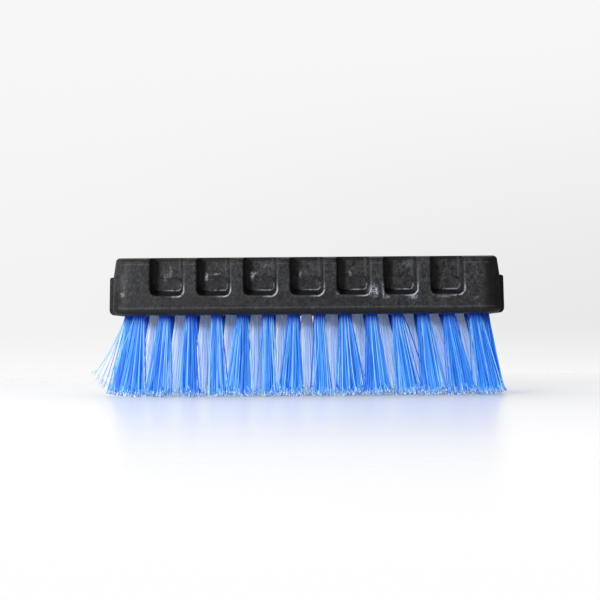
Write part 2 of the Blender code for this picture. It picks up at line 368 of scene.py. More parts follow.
@dataclass
class EffectLibrary:
    """The effects that materials place, each a node group that is built once."""

    built: dict = field(default_factory=dict)
    speck_patch_scale: float = 0.13
    speck_fine_share: float = 0.65
    speck_start: float = 0.86
    speck_gain: float = 0.4
    speck_edge: float = 0.08
    streak_spread: float = 91.0
    streak_scale: float = 4.0
    streak_share: float = 0.5
    end_spread: float = 913.0
    end_run: float = 9.0
    end_scale: float = 3.0

    def place(self, desk: NodeDesk, effect: Effect, inputs: dict) -> bpy.types.bpy_prop_collection:
        """Puts an effect into a material, and builds its group on first use.

        Args:
            desk: The material's nodes.
            effect: The effect.
            inputs: Values or outputs for its sockets.

        Returns:
            The group node's outputs.
        """
        builders = {
            Effect.FINE_GRAIN: self._fine_grain,
            Effect.SCRATCHES: self._scratches,
            Effect.SPECKS: self._specks,
            Effect.LENGTH_STREAKS: self._length_streaks,
        }
        if effect not in self.built:
            self.built[effect] = builders[effect]()
        return desk.add("ShaderNodeGroup", inputs, node_tree=self.built[effect]).outputs

    @staticmethod
    def _start(effect: Effect, inputs: dict, outputs: dict) -> tuple:
        """An empty group with named sockets.

        Args:
            effect: The effect that the group makes.
            inputs: Names of the inputs, by socket kind.
            outputs: Names of the outputs, by socket kind.

        Returns:
            The group's desk, what it is given and what it results in.
        """
        tree = bpy.data.node_groups.new(effect.value, "ShaderNodeTree")
        for way, sockets in (("INPUT", inputs), ("OUTPUT", outputs)):
            for kind, names in sockets.items():
                for name in names:
                    tree.interface.new_socket(name, in_out=way, socket_type=f"NodeSocket{kind}")
        desk = NodeDesk(tree)
        return desk, desk.add("NodeGroupInput").outputs, desk.add("NodeGroupOutput").inputs

    def _fine_grain(self) -> bpy.types.NodeTree:
        """A grained skin: a height, and a mottle from 0 to 1.

        Returns:
            The group.
        """
        desk, given, result = self._start(
            Effect.FINE_GRAIN,
            {"Vector": ["Vector"], "Float": ["Grain Scale", "Mottle Scale"]},
            {"Float": ["Height", "Mottle"]},
        )
        grain = desk.noise(given["Vector"], given["Grain Scale"], detail=2.0, roughness=0.6)
        mottle = desk.noise(given["Vector"], given["Mottle Scale"], detail=4.0, roughness=0.6)
        desk.feed(result["Height"], grain)
        desk.feed(result["Mottle"], desk.ramp(mottle, low=0.3, high=0.7))
        return desk.tree

    def _scratches(self) -> bpy.types.NodeTree:
        """Short scratches that lean across the sides, as a mask.

        Returns:
            The group.
        """
        desk, given, result = self._start(
            Effect.SCRATCHES,
            {"Vector": ["Vector"], "Float": ["Scale", "Stretch", "Turn"]},
            {"Float": ["Mask"]},
        )
        turn = {"Vector": given["Vector"], "Angle": given["Turn"]}
        turned = desk.add("ShaderNodeVectorRotate", turn, rotation_type="Y_AXIS").outputs["Vector"]
        factors = {0: turned, 1: desk.vector(1.0, 1.0, given["Stretch"])}
        drawn = desk.add("ShaderNodeVectorMath", factors, operation="MULTIPLY").outputs[0]
        lines = desk.noise(drawn, given["Scale"], detail=2.0, roughness=0.6)
        desk.feed(result["Mask"], desk.ramp(lines, low=0.50, high=0.72))
        return desk.tree

    def _specks(self) -> bpy.types.NodeTree:
        """Scattered small marks, such as dust, as a mask.

        Returns:
            The group.
        """
        desk, given, result = self._start(
            Effect.SPECKS,
            {"Vector": ["Vector"], "Float": ["Scale", "Amount"]},
            {"Float": ["Mask"]},
        )
        fine = desk.noise(given["Vector"], given["Scale"], detail=3.0, roughness=0.7)
        patchy = desk.noise(given["Vector"], desk.product(given["Scale"], self.speck_patch_scale), detail=2.0)
        fine_part = desk.product(fine, self.speck_fine_share)
        patchy_part = desk.product(patchy, 1 - self.speck_fine_share)
        start = desk.math("SUBTRACT", self.speck_start, desk.product(given["Amount"], self.speck_gain))
        full = desk.math("ADD", start, self.speck_edge)
        desk.feed(result["Mask"], desk.ramp(desk.math("ADD", fine_part, patchy_part), start, full))
        return desk.tree

    def _length_streaks(self) -> bpy.types.NodeTree:
        """Long pale and dark streaks with each filament's own tone, painted shade at its root and its pale
        cut end.

        Returns:
            The group.
        """
        colors = ["Deep Color", "Middle Color", "Light Color", "End Color", "End Shade", "Root Shade Color"]
        desk, given, result = self._start(
            Effect.LENGTH_STREAKS,
            {"Float": ["Tone", "Run", "End Start", "Root Shade End"], "Color": colors},
            {"Color": ["Color"], "Float": ["Tip"]},
        )
        place = desk.vector(desk.product(given["Tone"], self.streak_spread), given["Run"])
        waver = desk.noise(place, self.streak_scale, detail=2.0)
        tone = desk.math("ADD", given["Tone"], desk.product(waver, self.streak_share))
        tone = desk.math("SUBTRACT", tone, self.streak_share / 2)
        lower = desk.blend(desk.ramp(tone, low=0.0, high=0.5), given["Deep Color"], given["Middle Color"])
        body = desk.blend(desk.ramp(tone, low=0.55, high=1.0), lower, given["Light Color"])
        # Painted shade on the roots under the block.
        root_shaded = desk.ramp(given["Run"], given["Root Shade End"], 0.0)
        body = desk.blend(root_shaded, body, given["Root Shade Color"])
        across = desk.product(given["Tone"], self.end_spread)
        end_place = desk.vector(across, desk.product(given["Run"], self.end_run))
        speckle = desk.ramp(desk.noise(end_place, self.end_scale, detail=2.0), low=0.40, high=0.60)
        end = desk.blend(speckle, given["End Shade"], given["End Color"])
        tip = desk.ramp(given["Run"], given["End Start"], 1.0)
        desk.feed(result["Color"], desk.blend(tip, body, end))
        desk.feed(result["Tip"], tip)
        return desk.tree


@dataclass(frozen=True)
class PaleMark:
    """A pale mark on the block's side at -Y: most are rub marks, and a few at the pads' upper -X corners and
    heads are painted highlights.
    """

    x: float
    height: float
    width: float
    tall: float
    strength: float


# Rub marks, and painted highlights at the upper -X corners and heads of the pads.
PALE_MARKS = (
    PaleMark(-0.0696, 0.0392, 0.0012, 0.0016, 0.50),
    PaleMark(-0.0690, 0.0440, 0.0022, 0.0050, 0.10),
    PaleMark(-0.0520, 0.0482, 0.0010, 0.0030, 0.30),
    PaleMark(-0.0541, 0.0455, 0.0009, 0.0028, 0.26),
    PaleMark(-0.0527, 0.0464, 0.0014, 0.0013, 0.34),
    # Painted highlights at the upper -X corner and head of the pad in the second recess from -X.
    PaleMark(-0.0382, 0.0461, 0.0009, 0.0022, 1.00),
    PaleMark(-0.0345, 0.0471, 0.0024, 0.0007, 0.42),
    # Painted highlights at the upper -X corner and head of the pad in the third recess from -X.
    PaleMark(-0.0207, 0.0462, 0.0012, 0.0022, 1.00),
    PaleMark(-0.0196, 0.0472, 0.0014, 0.0009, 0.50),
    PaleMark(-0.0150, 0.0503, 0.0030, 0.0022, 0.22),
    # Painted highlights at the upper -X corners of the pads in the fourth and fifth recesses from -X.
    PaleMark(-0.0023, 0.0465, 0.0008, 0.0018, 0.75),
    PaleMark(0.0168, 0.0468, 0.0008, 0.0014, 0.55),
    PaleMark(0.0251, 0.0402, 0.0028, 0.0036, 0.45),
    PaleMark(0.0263, 0.0396, 0.0012, 0.0028, 1.00),
    PaleMark(0.0240, 0.0404, 0.0006, 0.0026, 0.80),
    PaleMark(0.0291, 0.0408, 0.0009, 0.0048, 0.90),
    PaleMark(0.0304, 0.0376, 0.0016, 0.0010, 0.60),
    PaleMark(0.0389, 0.0505, 0.0024, 0.0022, 0.20),
    PaleMark(0.0402, 0.0377, 0.0024, 0.0015, 0.75),
    PaleMark(0.0520, 0.0378, 0.0036, 0.0009, 0.35),
    PaleMark(0.0118, 0.0394, 0.0010, 0.0016, 0.36),
    PaleMark(0.0470, 0.0410, 0.0007, 0.0026, 0.30),
    PaleMark(0.0640, 0.0372, 0.0016, 0.0010, 0.22),
)


@dataclass(frozen=True)
class BlockSpot:
    """Where a shaded spot of the block lies, as outputs that its masks read."""

    place: bpy.types.NodeSocket
    x: bpy.types.NodeSocket
    y: bpy.types.NodeSocket
    level: bpy.types.NodeSocket
    along: bpy.types.NodeSocket
    depth: bpy.types.NodeSocket

    @classmethod
    def read(cls, desk: NodeDesk, block: "Block") -> "BlockSpot":
        """Reads the spot from the object's coordinates.

        Args:
            desk: The material's nodes.
            block: The block.

        Returns:
            Its place, level, distance along from the nearest recess's middle and depth behind the side.
        """
        place = desk.add("ShaderNodeTexCoord").outputs["Object"]
        x, y, level = desk.split(place)
        along = desk.math("WRAP", x, block.recess_pitch / 2, -block.recess_pitch / 2)
        depth = desk.math("SUBTRACT", block.width / 2, desk.math("ABSOLUTE", y))
        return cls(place, x, y, level, along, depth)


@dataclass(frozen=True)
class Outline:
    """A rectangle with round corners on the block's side, about the middle of a finger recess."""

    half_width: float
    middle: float
    half_height: float
    corner: float

    def distance(self, desk: NodeDesk, spot: BlockSpot) -> bpy.types.NodeSocket:
        """How far a spot is from the outline.

        Args:
            desk: The material's nodes.
            spot: The spot.

        Returns:
            The distance, never below zero.
        """
        past_side = desk.math("SUBTRACT", desk.math("ABSOLUTE", spot.along), self.half_width - self.corner)
        upward = desk.math("ABSOLUTE", desk.math("SUBTRACT", spot.level, self.middle))
        past_top = desk.math("SUBTRACT", upward, self.half_height - self.corner)
        beyond = desk.vector(desk.math("MAXIMUM", past_side, 0.0), desk.math("MAXIMUM", past_top, 0.0))
        within = desk.math("MINIMUM", desk.math("MAXIMUM", past_side, past_top), 0.0)
        total = desk.math("ADD", desk.length(beyond), within)
        return desk.math("ABSOLUTE", desk.math("SUBTRACT", total, self.corner))


@dataclass(frozen=True)
class BlockFinish:
    """Satin black moulded plastic: greyed where hands and work rub it, deep black where nothing does, with
    painted shade, painted shadows and painted highlights in its colour.
    """

    base: tuple = (0.0055, 0.0055, 0.0060)
    mottled: tuple = (0.0285, 0.0290, 0.0315)
    scratched: tuple = (0.074, 0.077, 0.085)
    # Pale colour of rub marks, dust and painted highlights.
    scuff_dust_highlight: tuple = (0.36, 0.39, 0.44)
    roughness_range: tuple = (0.50, 0.70)
    specular: float = 0.24
    grain_scale: float = 1300.0
    mottle_scale: float = 650.0
    scratch_scale: float = 2500.0
    scratch_stretch: float = 0.24
    scratch_turns: tuple = (0.45, -0.9)
    scratch_share: float = 0.50
    dust_scale: float = 900.0
    dust_amount: float = 0.45
    dust_share: float = 0.20
    bump_distance: float = 0.00010
    bump_strength: float = 0.40
    # Painted shade on the down-facing bevel and the rounded top edge.
    bevel_and_top_shade: float = 0.10
    bevel_fade: float = 0.0009
    recess_fade: float = 0.0020
    face_wear: float = 0.75
    patch_scale: float = 150.0
    patch_range: tuple = (0.74, 1.24)
    # Painted light: how much lighter the faces are painted towards +X.
    rightward_light: float = 1.33
    # Painted shade on the pads and painted light on the recesses' upper back walls.
    pad_zone_shade: float = 0.90
    upper_recess_light: float = 1.30
    # Painted shade in the groove under each pad.
    groove_shade: float = 0.15
    shade_width: float = 0.0050
    # Painted shadow along each recess's wall at -X.
    wall_shadow: float = 0.20
    # Darker below the level of the pads' feet.
    below_feet_factor: float = 0.72
    # Painted shade on the rounded end towards +X.
    far_end_shade: float = 0.12
    # Two long pale lines; the one below the rounded top edge is a painted highlight.
    edge_line_width: float = 0.00035
    edge_line_drop: float = 0.0022
    edge_line_strength: float = 0.08
    # Painted highlight on the recess lips, over a faint line of wear.
    lip_width: float = 0.00050
    lip_base: float = 0.06
    lip_rise: float = 2.2
    lip_strength: float = 0.80
    # Painted highlights on the pads' rims.
    rim_width: float = 0.00040
    rim_strength: float = 0.85
    head_strength: float = 0.08
    mark_scale: float = 1500.0
    mark_core: float = 0.2

    def build(self, effects: EffectLibrary, block: "Block", mark_table: tuple) -> bpy.types.Material:
        """Makes the material.

        Args:
            effects: The shared node groups.
            block: The block, whose edges are rubbed.
            mark_table: The pale marks, rub marks and painted highlights alike, placed in the block's frame.

        Returns:
            The block's material.
        """
        material, desk, shader = start_material("satin_black_plastic")
        spot = BlockSpot.read(desk, block)
        scales = {"Grain Scale": self.grain_scale, "Mottle Scale": self.mottle_scale}
        skin = effects.place(desk, Effect.FINE_GRAIN, {"Vector": spot.place, **scales})
        specks = {"Vector": spot.place, "Scale": self.dust_scale, "Amount": self.dust_amount}
        dust = desk.product(effects.place(desk, Effect.SPECKS, specks)["Mask"], self.dust_share)
        marks = desk.math("MAXIMUM", self._marks(desk, spot, mark_table), self._edges(desk, spot, block))
        plastic = desk.blend(skin["Mottle"], self.base, self.mottled)
        for turn in self.scratch_turns:
            sizes = {"Scale": self.scratch_scale, "Stretch": self.scratch_stretch, "Turn": turn}
            lines = effects.place(desk, Effect.SCRATCHES, {"Vector": spot.place, **sizes})["Mask"]
            plastic = desk.blend(desk.product(lines, self.scratch_share), plastic, self.scratched)
        # This factor carries the rubbing together with painted shade and painted light.
        worn_and_shaded = desk.blend(self._wear_and_shade(desk, spot, block), self.base, plastic)
        pale = desk.math("MAXIMUM", marks, dust)
        # Rub marks, dust and painted highlights take the pale colour.
        desk.feed(shader.inputs["Base Color"], desk.blend(pale, worn_and_shaded, self.scuff_dust_highlight))
        desk.feed(shader.inputs["Roughness"], desk.ramp(skin["Mottle"], 0.0, 1.0, *self.roughness_range))
        desk.feed(shader.inputs["Specular IOR Level"], self.specular)
        relief = {"Strength": self.bump_strength, "Distance": self.bump_distance, "Height": skin["Height"]}
        desk.feed(shader.inputs["Normal"], desk.add("ShaderNodeBump", relief).outputs["Normal"])
        return material

    def _wear_and_shade(self, desk: NodeDesk, spot: BlockSpot, block: "Block") -> bpy.types.NodeSocket:
        """How light a spot is painted: full rubbing on the faces in random patches, painted shade on the
        bevel, the rounded top edge, the far end at +X and in the recesses, painted light towards +X and on
        the recesses' upper back walls, and darker below the pads' feet.

        Args:
            desk: The material's nodes.
            spot: The spot.
            block: The block.

        Returns:
            The share, from 0 to about 1.
        """
        # Painted shade: the down-facing bevel and the rounded top edge are painted darker.
        bevel_top = block.underside + block.bottom_bevel_height
        above = desk.ramp(spot.level, bevel_top - self.bevel_fade, bevel_top, self.bevel_and_top_shade, 1.0)
        edge_top = block.underside + block.height - block.top_crown
        edge_start = edge_top - block.top_edge_radius
        edge_full = edge_top - block.top_edge_radius / 3
        below = desk.ramp(spot.level, edge_start, edge_full, 1.0, self.bevel_and_top_shade)
        # Darker below the level of the pads' feet.
        foot = block.pad_foot
        under = desk.ramp(spot.level, foot - 2 * block.pad_bottom_margin, foot, self.below_feet_factor, 1.0)
        # Painted shade: the rounded end towards +X is painted darker where it turns from the light.
        rounded = block.length / 2 - block.corner_radius
        shadow_start = rounded - block.corner_radius / 3
        far_end = desk.ramp(spot.x, shadow_start, rounded + block.corner_radius / 4, 1.0, self.far_end_shade)
        # Painted light: the faces are painted lighter towards +X.
        last_rib = (block.recess_count / 2 - 1) * block.recess_pitch
        most = self.face_wear * self.rightward_light
        rightward = desk.ramp(spot.x, block.recess_pitch / 2, last_rib, self.face_wear, most)
        patchy = desk.noise(spot.place, self.patch_scale, detail=3.0, roughness=0.6)
        patches = desk.ramp(patchy, 0.35, 0.65, *self.patch_range)
        recessed = self._recess_painted_light(desk, spot, block)
        return desk.product(above, below, under, far_end, rightward, patches, recessed)

    def _recess_painted_light(self, desk: NodeDesk, spot: BlockSpot, block: "Block") -> bpy.types.NodeSocket:
        """How the finger recesses are painted against the faces: painted light on their upper back walls,
        painted shade on the pads and in the grooves under them, and a painted shadow along their walls at -X.

        Args:
            desk: The material's nodes.
            spot: The spot.
            block: The block.

        Returns:
            The factor: 1 outside the recesses, more on their upper back walls, less on the pads, in their
                grooves and along their walls at -X.
        """
        # Painted light on the recesses' upper back walls, painted shade on the pads below them.
        head = block.underside + block.height - block.pad_top_drop
        levels = (self.pad_zone_shade, self.upper_recess_light)
        inner = desk.ramp(spot.level, head - self.recess_fade / 2, head, *levels)
        # Painted shade in the groove under each pad.
        groove_top = block.pad_foot + block.pad_rim / 2
        groove = desk.ramp(
            spot.level, block.pad_foot - block.pad_bottom_margin / 4, groove_top, self.groove_shade, 1.0
        )
        # Painted shadow along each recess's wall at -X.
        wall = -block.recess_width / 2
        shaded = desk.ramp(
            spot.along, wall + self.shade_width / 3, wall + self.shade_width, self.wall_shadow, 1.0
        )
        change = desk.math("SUBTRACT", desk.product(inner, groove, shaded), 1.0)
        inward = desk.ramp(spot.depth, self.recess_fade / 2, self.recess_fade)
        return desk.math("ADD", 1.0, desk.product(inward, change))

    def _edges(self, desk: NodeDesk, spot: BlockSpot, block: "Block") -> bpy.types.NodeSocket:
        """The pale edges: a faint line of wear round the recesses' lips, painted highlights on the lips'
        lower +X corners and on the pads' rims, and two long pale lines.

        Args:
            desk: The material's nodes.
            spot: The spot.
            block: The block.

        Returns:
            The mask, from 0 to 1.
        """
        outer = desk.ramp(spot.depth, self.recess_fade, self.recess_fade / 2)
        lips = desk.product(self._lips(desk, spot, block), outer, self.lip_strength)
        rims = desk.product(self._rims(desk, spot, block), desk.math("SUBTRACT", 1.0, outer))
        reach = block.recess_pitch * block.recess_count / 2
        inside = desk.ramp(desk.math("ABSOLUTE", spot.x), reach, reach - block.rib_width / 4)
        edge_noise = desk.noise(spot.place, self.mottle_scale, detail=3.0, roughness=0.7)
        broken = desk.ramp(edge_noise, low=0.34, high=0.54)
        edges = desk.product(desk.math("MAXIMUM", lips, rims), inside, broken)
        # Two long pale lines: the one below the rounded top edge is a painted highlight, the other runs at
        # the top of the bevel.
        lines = 0.0
        below_top = block.height - block.top_crown - self.edge_line_drop
        for height in (block.bottom_bevel_height + self.edge_line_width, below_top):
            away = desk.math("ABSOLUTE", desk.math("SUBTRACT", spot.level, block.underside + height))
            lines = desk.math("MAXIMUM", lines, desk.ramp(away, self.edge_line_width, 0.0))
        broken = desk.ramp(edge_noise, low=0.20, high=0.55)
        return desk.math("MAXIMUM", edges, desk.product(lines, outer, self.edge_line_strength, broken))

    def _lips(self, desk: NodeDesk, spot: BlockSpot, block: "Block") -> bpy.types.NodeSocket:
        """The lips of the finger recesses: a faint line of wear all round, and a painted highlight strongest
        at the lower corner towards +X.

        Args:
            desk: The material's nodes.
            spot: The spot.
            block: The block.

        Returns:
            The mask, from 0 to 1.
        """
        half = block.recess_width / 2 + block.recess_lip / 2
        foot = block.underside + block.recess_floor - block.recess_lip / 2
        middle = foot + block.height / 2
        corner = block.recess_corner + block.recess_lip / 2
        away = Outline(half, middle, block.height / 2, corner).distance(desk, spot)
        # Painted highlight: paler towards the lower corner at +X, over a faint line of wear all round.
        rightward = desk.ramp(spot.along, 0.0, half - corner / 2)
        low = desk.ramp(spot.level, foot + self.lip_rise * corner, foot + corner / 2)
        weight = desk.math("ADD", self.lip_base, desk.product(rightward, low, 1 - self.lip_base))
        fading = desk.ramp(spot.level, middle + corner, middle - corner)
        return desk.product(desk.ramp(away, self.lip_width, 0.0), weight, fading)

    def _rims(self, desk: NodeDesk, spot: BlockSpot, block: "Block") -> bpy.types.NodeSocket:
        """Painted highlights on the pads' rims: the foot towards +X and the head towards -X.

        Args:
            desk: The material's nodes.
            spot: The spot.
            block: The block.

        Returns:
            The mask, from 0 to 1.
        """
        low = block.pad_foot + block.pad_rim / 2
        high = block.underside + block.height - block.pad_top_drop - block.pad_top_slope
        middle = (low + high) / 2
        tall = (high - low) / 2
        half = block.recess_width / 2 - block.pad_side_margin - block.pad_rim / 2
        away = Outline(half, middle, tall, block.pad_corner).distance(desk, spot)
        # Painted highlights on the foot towards +X and the head towards -X.
        upper = desk.ramp(spot.level, middle - tall / 3, middle + tall / 3)
        foot = desk.ramp(spot.along, -half / 2, half / 3, 0.0, self.rim_strength)
        head = desk.ramp(spot.along, -half / 2, -half, 0.0, self.head_strength)
        strength = desk.add("ShaderNodeMix", {0: upper, 2: foot, 3: head}).outputs[0]
        return desk.product(desk.ramp(away, self.rim_width, 0.0), strength)

    def _marks(self, desk: NodeDesk, spot: BlockSpot, mark_table: tuple) -> bpy.types.NodeSocket:
        """The pale marks as one mask, rub marks and painted highlights alike, broken up by fine noise.

        Args:
            desk: The material's nodes.
            spot: The spot.
            mark_table: The marks.

        Returns:
            The mask, from 0 to 1.
        """
        total = 0.0
        for pale_mark in mark_table:
            across = desk.math("DIVIDE", desk.math("SUBTRACT", spot.x, pale_mark.x), pale_mark.width)
            upward = desk.math("DIVIDE", desk.math("SUBTRACT", spot.level, pale_mark.height), pale_mark.tall)
            mark = desk.ramp(desk.length(desk.vector(across, upward)), 1.0, self.mark_core)
            total = desk.math("MAXIMUM", total, desk.product(mark, pale_mark.strength))
        front = desk.math("LESS_THAN", spot.y, 0.0)
        fine = desk.noise(spot.place, self.mark_scale, detail=3.0, roughness=0.7)
        return desk.product(total, desk.ramp(fine, low=0.40, high=0.62), front)


@dataclass(frozen=True)
class FilamentFinish:
    """Drawn plastic filament with pale cut ends and painted shade at its roots, which passes light on to what
    lies behind it.
    """

    slot: Slot
    deep: tuple
    middle: tuple
    light: tuple
    end: tuple
    end_shade: tuple
    end_start: float
    # Painted shade: the roots' colour under the block, and how far down it reaches.
    root: tuple
    root_shade_end: float
    roughness: float
    translucency: float
    tint: tuple
    root_tint: tuple
    end_roughness: float = 0.8
    packed_share: float = 0.7

    def build(self, effects: EffectLibrary) -> bpy.types.Material:
        """Makes the material.

        Args:
            effects: The shared node groups.

        Returns:
            The filaments' material.
        """
        material, desk, shader = start_material(self.slot.value)
        run = desk.add("ShaderNodeAttribute", attribute_name="run").outputs["Fac"]
        streaks = effects.place(
            desk,
            Effect.LENGTH_STREAKS,
            {
                "Tone": desk.add("ShaderNodeAttribute", attribute_name="tone").outputs["Fac"],
                "Run": run,
                "Deep Color": self.deep,
                "Middle Color": self.middle,
                "Light Color": self.light,
                "End Color": self.end,
                "End Shade": self.end_shade,
                "End Start": self.end_start,
                "Root Shade Color": self.root,
                "Root Shade End": self.root_shade_end,
            },
        )
        desk.feed(shader.inputs["Base Color"], streaks["Color"])
        rough = desk.ramp(streaks["Tip"], 0.0, 1.0, self.roughness, self.end_roughness)
        desk.feed(shader.inputs["Roughness"], rough)
        through = desk.add("ShaderNodeBsdfTranslucent", {"Color": streaks["Color"]})
        packed = desk.ramp(run, self.root_shade_end * self.packed_share, 0.0)
        passed = desk.blend(packed, self.tint, self.root_tint)
        clear = desk.add("ShaderNodeBsdfTransparent", {"Color": passed})
        rays = desk.add("ShaderNodeLightPath").outputs
        passing = desk.math("MAXIMUM", rays["Is Shadow Ray"], rays["Is Diffuse Ray"])
        solid = desk.mix_shaders(self.translucency, shader, through)
        desk.surface("Material Output", desk.mix_shaders(passing, solid, clear))
        return material


BLUE_FILAMENT = FilamentFinish(
    slot=Slot.BLUE,
    deep=(0.003, 0.105, 0.76),
    middle=(0.032, 0.305, 0.97),
    light=(0.29, 0.65, 1.0),
    end=(0.76, 0.88, 0.97),
    end_shade=(0.020, 0.13, 0.48),
    end_start=0.94,
    # Painted shade at the roots.
    root=(0.003, 0.070, 0.58),
    root_shade_end=0.17,
    roughness=0.38,
    translucency=0.25,
    tint=(0.935, 0.968, 0.993),
    root_tint=(0.62, 0.70, 0.88),
)
CLEAR_FILAMENT = FilamentFinish(
    slot=Slot.CLEAR,
    deep=(0.62, 0.66, 0.99),
    middle=(0.73, 0.76, 1.0),
    light=(0.88, 0.89, 1.0),
    end=(1.0, 1.0, 0.99),
    end_shade=(0.38, 0.41, 0.46),
    end_start=0.88,
    # Painted shade at the roots.
    root=(0.58, 0.61, 0.76),
    root_shade_end=0.38,
    roughness=0.45,
    translucency=0.10,
    tint=(0.986, 0.986, 0.996),
    root_tint=(0.86, 0.86, 0.90),
)


@dataclass
class Block:
    """The moulded block with seven finger recesses a side, end tabs and blind tuft holes."""

    length: float = 0.1486
    width: float = 0.0500
    height: float = 0.0220
    corner_radius: float = 0.0068
    bottom_bevel_height: float = 0.0021
    bottom_bevel_width: float = 0.0019
    top_edge_radius: float = 0.0012
    top_crown: float = 0.0008
    lower_end_draft: float = math.radians(1.4)
    upper_end_draft: float = math.radians(8.0)
    side_draft: float = math.radians(1.5)
    recess_count: int = 7
    end_shoulder: float = 0.0150
    rib_width: float = 0.0053
    recess_depth: float = 0.0056
    recess_floor: float = 0.00715
    recess_corner: float = 0.0022
    recess_fillet: float = 0.0022
    recess_lip: float = 0.0010
    recess_back_wall: float = 0.0013
    pad_side_margin: float = 0.0006
    pad_bottom_margin: float = 0.0017
    pad_top_drop: float = 0.00645
    pad_rise: float = 0.0008
    pad_corner: float = 0.0014
    pad_rim: float = 0.0007
    pad_top_slope: float = 0.0014
    pad_dish: float = 0.00035
    pad_dish_slope: float = 0.0022
    hole_diameter: float = 0.0050
    hole_roof: float = 0.0096
    hole_end_rim: float = 0.0020
    tab_reach: float = 0.0017
    tab_corner_margin: float = 0.0012
    tab_roof: float = 0.0022
    tab_edge: float = 0.0008
    tab_draft: float = math.radians(1.0)
    overrun: float = 0.0020
    pad_sink: float = 0.0006
    corner_steps: int = 12
    edge_steps: int = 5
    hole_sides: int = 20
    smooth_angle: float = math.radians(38.0)
    underside: float = field(default_factory=lambda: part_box("block")[0].z)

    @property
    def hole_depth(self) -> float:
        """Depth of a tuft hole from the underside."""
        return self.height - self.hole_roof

    @property
    def tab_height(self) -> float:
        """Height of an end tab above the underside."""
        return self.hole_depth + self.tab_roof

    @property
    def tab_half(self) -> float:
        """Half the width of an end tab, and of the level middle of the top."""
        return self.width / 2 - self.corner_radius - self.tab_corner_margin

    @property
    def recess_width(self) -> float:
        """Width of one finger recess."""
        ribs = (self.recess_count - 1) * self.rib_width
        return (self.length - 2 * self.end_shoulder - ribs) / self.recess_count

    @property
    def recess_pitch(self) -> float:
        """Distance between the middles of neighbouring recesses."""
        return self.recess_width + self.rib_width

    @property
    def pad_foot(self) -> float:
        """Height of the pads' lower edge above the floor."""
        return self.underside + self.recess_floor + self.pad_bottom_margin

    @property
    def last_tuft_x(self) -> float:
        """Distance from the middle to the last tuft of a front row."""
        end = self.length / 2 + self.tab_reach - self.bottom_bevel_width
        return end - self.hole_end_rim - self.hole_diameter / 2

    @property
    def last_row_y(self) -> float:
        """Distance from the middle to the outer rows."""
        wall = self.recess_depth + self.recess_back_wall
        return self.width / 2 - wall - self.hole_diameter / 2

    def body_end(self, level: float) -> float:
        """Half the body's length at a level.

        Args:
            level: Height above the underside.

        Returns:
            The distance from the middle to an end face.
        """
        lower_run = min(level, self.tab_height)
        upper_run = max(level - self.tab_height, 0)
        lean = lower_run * math.tan(self.lower_end_draft) + upper_run * math.tan(self.upper_end_draft)
        return self.length / 2 - lean

    def body_side(self, level: float) -> float:
        """Half the body's width at a level above the underside."""
        return self.width / 2 - level * math.tan(self.side_draft)

    def tab_end(self, level: float) -> float:
        """Distance from the middle to a tab's outer face at a level above the underside."""
        return self.length / 2 + self.tab_reach - level * math.tan(self.tab_draft)

    def _tab_outline(self, face: float, reach: float) -> list:
        """The tab at the +X end in plan.

        Args:
            face: Where the body's end face lies.
            reach: How far the tab stands out from it.

        Returns:
            Points from the tab's root at -Y round to its root at +Y.
        """
        half = self.tab_half
        radius = min(self.tab_edge, reach)
        outer = face + reach - radius
        return (
            [(face, -half)]
            + arc(outer, -half + radius, radius, 3, self.edge_steps)
            + arc(outer, half - radius, radius, 0, self.edge_steps)
            + [(face, half)]
        )

    def _ring(self, level: float, inset: float, reach: float) -> list:
        """One level of the block's outline.

        Args:
            level: Height above the underside.
            inset: How far the outline is drawn in.
            reach: How far the tabs stand out, zero above them.

        Returns:
            The outline's points in space.
        """
        end = self.body_end(level) - inset
        side = self.body_side(level) - inset
        radius = self.corner_radius - inset
        tab = self._tab_outline(end, reach)
        outline = (
            arc(end - radius, side - radius, radius, 0, self.corner_steps)
            + arc(radius - end, side - radius, radius, 1, self.corner_steps)
            + [(-u, -v) for u, v in tab]
            + arc(radius - end, radius - side, radius, 2, self.corner_steps)
            + arc(end - radius, radius - side, radius, 3, self.corner_steps)
            + tab
        )
        return [(u, v, self.underside + level) for u, v in outline]

    def _body(self) -> bpy.types.Object:
        """The block's outer shape, bevelled below and rounded above.

        Returns:
            The uncut body.
        """
        rings = []
        for rise, inset in rounding(1, self.edge_steps):
            level = self.bottom_bevel_height * (1 - rise)
            reach = self.tab_end(level) - self.body_end(level)
            rings.insert(0, self._ring(level, self.bottom_bevel_width * inset, reach))
        for rise, inset in rounding(self.tab_edge, self.edge_steps):
            level = self.tab_height - self.tab_edge + rise
            rings.append(self._ring(level, 0, self.tab_end(level) - inset - self.body_end(level)))
        rings.append(self._ring(self.tab_height, 0, 0))
        for rise, inset in rounding(self.top_edge_radius, self.edge_steps):
            rings.append(self._crowned(self._ring(self.height - self.top_edge_radius + rise, inset, 0)))
        shape = bmesh.new()
        add_loft(shape, rings)
        self._split_top(shape)
        return object_of("moulded_block", shape)

    def _crowned(self, ring: list) -> list:
        """Lets down the points of a ring near the top that lie beyond its level middle.

        Args:
            ring: The points in space.

        Returns:
            The points of the crowned ring.
        """
        slope_width = self.body_side(self.height) - self.top_edge_radius - self.tab_half
        return [(u, v, w - self.top_crown * max(abs(v) - self.tab_half, 0) / slope_width) for u, v, w in ring]

    def _split_top(self, shape: bmesh.types.BMesh) -> None:
        """Divides the top into its level middle and a slope on each side.

        Args:
            shape: The block's body, which is changed.
        """
        bmesh.ops.remove_doubles(shape, verts=shape.verts[:], dist=MERGE_DISTANCE)
        top = self.underside + self.height
        corners = [vertex for vertex in shape.verts if math.isclose(vertex.co.z, top, rel_tol=REL_TOLERANCE)]
        for side in (-1, 1):
            bmesh.ops.connect_verts(shape, verts=[corner for corner in corners if corner.co.y * side > 0])

